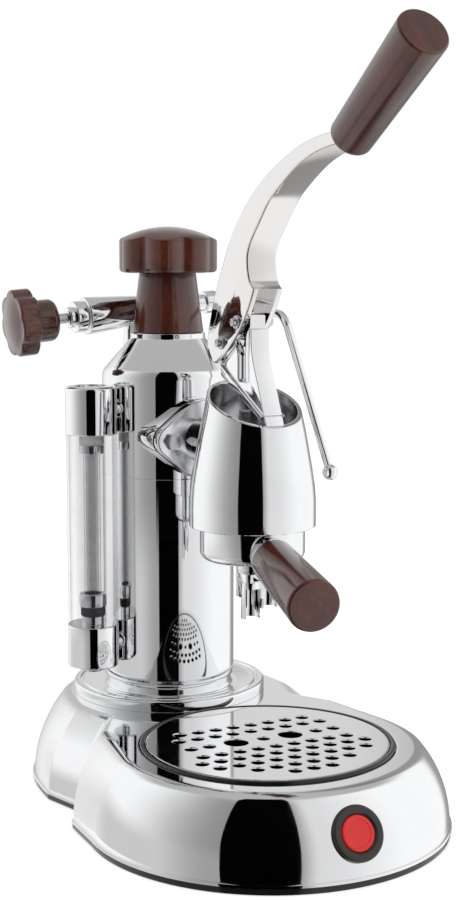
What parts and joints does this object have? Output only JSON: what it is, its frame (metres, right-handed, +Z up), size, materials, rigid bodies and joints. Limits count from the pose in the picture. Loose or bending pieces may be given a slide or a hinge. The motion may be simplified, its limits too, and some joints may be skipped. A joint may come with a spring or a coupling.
{
  "type": "lever espresso machine",
  "caption": "Manual lever espresso machine with an upright boiler, piston group, portafilter, steam wand, sight glass and a figure-of-eight base with drip tray.",
  "frame": {"origin": "on the boiler's axis at table level, on the underside of the bottom cover", "axes": "+Z up, -Y toward the user, +X to the user's right"},
  "size_m": [0.201, 0.345, 0.4188],
  "materials": {
    "base_shell": "polished",
    "bottom_cover": "gloss",
    "cover_screws": "brushed",
    "collar_ring": "polished",
    "drip_tray": "gloss",
    "drip_grid": "polished",
    "switch_bezel": "satin",
    "switch_button": "gloss",
    "switch_body": "satin",
    "power_inlet": "satin",
    "boiler_tube": "polished",
    "boiler_dome": "polished",
    "heating_element": "brushed",
    "element_gasket": "matte",
    "boiler_ring_nut": "turned",
    "pressure_switch": "satin",
    "cap_knob": "satin varnish",
    "cap_cone": "satin varnish",
    "cap_plug": "turned",
    "cap_gasket": "matte",
    "steam_valve_body": "polished",
    "steam_packing_nut": "polished",
    "steam_stem": "brushed",
    "steam_needle": "brushed",
    "steam_knob": "satin varnish",
    "steam_wand": "polished",
    "wand_nut": "polished",
    "wand_tip": "polished",
    "gauge_top_block": "polished",
    "gauge_bottom_block": "polished",
    "gauge_glass": "clear",
    "gauge_top_nut": "polished",
    "gauge_bottom_nut": "polished",
    "gauge_top_seal": "satin",
    "gauge_bottom_seal": "matte",
    "gauge_shield": "clear",
    "gauge_screw": "brushed",
    "group_casting": "polished",
    "flange_gasket": "matte",
    "flange_bolts": "brushed",
    "group_sleeve": "turned",
    "rod_gland": "turned",
    "piston": "turned",
    "piston_seals": "matte",
    "piston_rod": "brushed",
    "shower_screen": "brushed",
    "group_gasket": "matte",
    "lever_fork": "polished",
    "fulcrum_pin": "brushed",
    "rod_pin": "brushed",
    "pin_clips": "brushed",
    "lever_handle": "satin varnish",
    "portafilter_body": "polished",
    "basket": "brushed",
    "spout": "polished",
    "ferrule": "polished",
    "portafilter_handle": "satin varnish"
  },
  "bodies": {
    "machine": {"base_shell": "base_shell", "bottom_cover": "bottom_cover", "cover_screws": "cover_screws", "collar_ring": "collar_ring", "switch_bezel": "switch_bezel", "switch_body": "switch_body", "power_inlet": "power_inlet", "boiler_tube": "boiler_tube", "boiler_dome": "boiler_dome", "heating_element": "heating_element", "element_gasket": "element_gasket", "boiler_ring_nut": "boiler_ring_nut", "pressure_switch": "pressure_switch", "steam_valve_body": "steam_valve_body", "steam_packing_nut": "steam_packing_nut", "wand_nut": "wand_nut", "gauge_top_block": "gauge_top_block", "gauge_bottom_block": "gauge_bottom_block", "gauge_glass": "gauge_glass", "gauge_top_nut": "gauge_top_nut", "gauge_bottom_nut": "gauge_bottom_nut", "gauge_top_seal": "gauge_top_seal", "gauge_bottom_seal": "gauge_bottom_seal", "gauge_shield": "gauge_shield", "gauge_screw": "gauge_screw", "group_casting": "group_casting", "flange_gasket": "flange_gasket", "flange_bolts": "flange_bolts", "group_sleeve": "group_sleeve", "rod_gland": "rod_gland", "shower_screen": "shower_screen", "group_gasket": "group_gasket"},
    "tray": {"drip_tray": "drip_tray"},
    "grid": {"drip_grid": "drip_grid"},
    "button": {"switch_button": "switch_button"},
    "cap_seal": {"cap_gasket": "cap_gasket"},
    "cap": {"cap_knob": "cap_knob", "cap_cone": "cap_cone", "cap_plug": "cap_plug"},
    "valve_knob": {"steam_knob": "steam_knob", "steam_stem": "steam_stem"},
    "needle": {"steam_needle": "steam_needle"},
    "wand": {"steam_wand": "steam_wand", "wand_tip": "wand_tip"},
    "lever": {"lever_fork": "lever_fork", "lever_handle": "lever_handle", "fulcrum_pin": "fulcrum_pin", "rod_pin": "rod_pin", "pin_clips": "pin_clips"},
    "pump": {"piston": "piston", "piston_seals": "piston_seals", "piston_rod": "piston_rod"},
    "filter": {"basket": "basket"},
    "portafilter": {"portafilter_body": "portafilter_body", "ferrule": "ferrule", "portafilter_handle": "portafilter_handle", "spout": "spout"}
  },
  "joints": [
    {"name": "tray_lift", "type": "slide", "parent": "machine", "child": "tray", "axis": [0, 0, 1], "range_m": [0, 0.036]},
    {"name": "grid_lift", "type": "slide", "parent": "tray", "child": "grid", "axis": [0, 0, 1], "range_m": [0, 0.028]},
    {"name": "switch_push", "type": "slide", "parent": "machine", "child": "button", "axis": [0, 0.909, -0.4168], "range_m": [0, 0.002], "stiffness_N_per_m": 1500, "springref_m": -0.0002},
    {"name": "cap_lift", "type": "slide", "parent": "machine", "child": "cap_seal", "axis": [0, 0, 1], "range_m": [0, 0.045]},
    {"name": "cap_turn", "type": "hinge", "parent": "cap_seal", "child": "cap", "pos_m": [0, 0, 0.2636], "axis": [0, 0, 1], "continuous": true},
    {"name": "valve_turn", "type": "hinge", "parent": "machine", "child": "valve_knob", "pos_m": [0, 0.03, 0.2765], "axis": [-0.9962, 0, -0.0872], "range_deg": [0, 720]},
    {"name": "needle_slide", "type": "slide", "parent": "machine", "child": "needle", "axis": [-0.9962, 0, -0.0872], "range_m": [0, 0.002]},
    {"name": "wand_swivel", "type": "hinge", "parent": "machine", "child": "wand", "pos_m": [0, 0.03, 0.2765], "axis": [0.9962, 0, 0.0872], "range_deg": [-25, 50]},
    {"name": "lever_pivot", "type": "hinge", "parent": "machine", "child": "lever", "pos_m": [0, -0.0905, 0.2622], "axis": [1, 0, 0], "range_deg": [0, 70]},
    {"name": "piston_slide", "type": "slide", "parent": "machine", "child": "pump", "axis": [0, 0, -1], "range_m": [0, 0.02546]},
    {"name": "filter_drop", "type": "slide", "parent": "machine", "child": "filter", "axis": [0, 0, -1], "range_m": [0, 0.001]},
    {"name": "portafilter_turn", "type": "hinge", "parent": "filter", "child": "portafilter", "pos_m": [0, -0.1105, 0.165], "axis": [0, 0, -1], "range_deg": [0, 40]}
  ],
  "couplings": [
    {"joint": "needle_slide", "follows": "valve_turn", "m_per_rad": 0.00015915},
    {"joint": "piston_slide", "follows": "lever_pivot", "m_per_rad": 0.0208},
    {"joint": "filter_drop", "follows": "portafilter_turn", "m_per_rad": 0.0014324}
  ]
}
